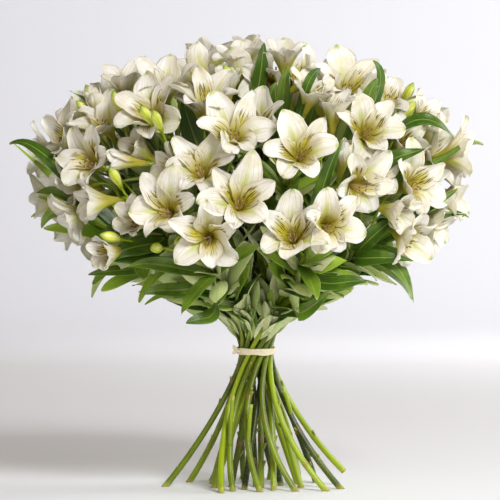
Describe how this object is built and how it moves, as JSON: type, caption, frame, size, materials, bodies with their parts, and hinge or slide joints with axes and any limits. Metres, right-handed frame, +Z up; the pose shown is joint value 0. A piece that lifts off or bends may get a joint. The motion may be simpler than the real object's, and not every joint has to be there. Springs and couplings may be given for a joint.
{
  "type": "alstroemeria bouquet",
  "caption": "Hand-tied bouquet of white alstroemeria: a dome of open florets and buds over narrow leaves, bound by one cream band, standing unheld on its splayed cut stems.",
  "frame": {"origin": "on the surface the bouquet stands on, at the cut end of its middle stalk, under the middle of the tie", "axes": "+Z up; the side shown in the picture faces -Y, with +X to the viewer's right"},
  "size_m": [0.454, 0.3874, 0.4419],
  "materials": {
    "stalk_and_leaf": "satin",
    "petal": "satin",
    "band": "matt"
  },
  "bodies": {
    "root": {"leafy_stalk_01": "stalk_and_leaf", "leafy_stalk_02": "stalk_and_leaf", "leafy_stalk_03": "stalk_and_leaf", "leafy_stalk_04": "stalk_and_leaf", "leafy_stalk_05": "stalk_and_leaf", "leafy_stalk_06": "stalk_and_leaf", "leafy_stalk_07": "stalk_and_leaf", "leafy_stalk_08": "stalk_and_leaf", "leafy_stalk_09": "stalk_and_leaf", "leafy_stalk_10": "stalk_and_leaf", "leafy_stalk_11": "stalk_and_leaf", "leafy_stalk_12": "stalk_and_leaf", "leafy_stalk_13": "stalk_and_leaf", "leafy_stalk_14": "stalk_and_leaf", "leafy_stalk_15": "stalk_and_leaf", "leafy_stalk_16": "stalk_and_leaf", "leafy_stalk_17": "stalk_and_leaf", "leafy_stalk_18": "stalk_and_leaf", "leafy_stalk_19": "stalk_and_leaf", "leafy_stalk_20": "stalk_and_leaf", "leafy_stalk_21": "stalk_and_leaf", "leafy_stalk_22": "stalk_and_leaf", "leafy_stalk_23": "stalk_and_leaf", "leafy_stalk_24": "stalk_and_leaf", "leafy_stalk_25": "stalk_and_leaf", "leafy_stalk_26": "stalk_and_leaf", "flower_head_01": "petal", "flower_head_02": "petal", "flower_head_03": "petal", "flower_head_04": "petal", "flower_head_05": "petal", "flower_head_06": "petal", "flower_head_07": "petal", "flower_head_08": "petal", "flower_head_09": "petal", "flower_head_10": "petal", "flower_head_11": "petal", "flower_head_12": "petal", "flower_head_13": "petal", "flower_head_14": "petal", "flower_head_15": "petal", "flower_head_16": "petal", "flower_head_17": "petal", "flower_head_18": "petal", "flower_head_19": "petal", "flower_head_20": "petal", "flower_head_21": "petal", "flower_head_22": "petal", "flower_head_23": "petal", "flower_head_24": "petal", "flower_head_25": "petal", "flower_head_26": "petal", "tie_band": "band"}
  },
  "joints": []
}
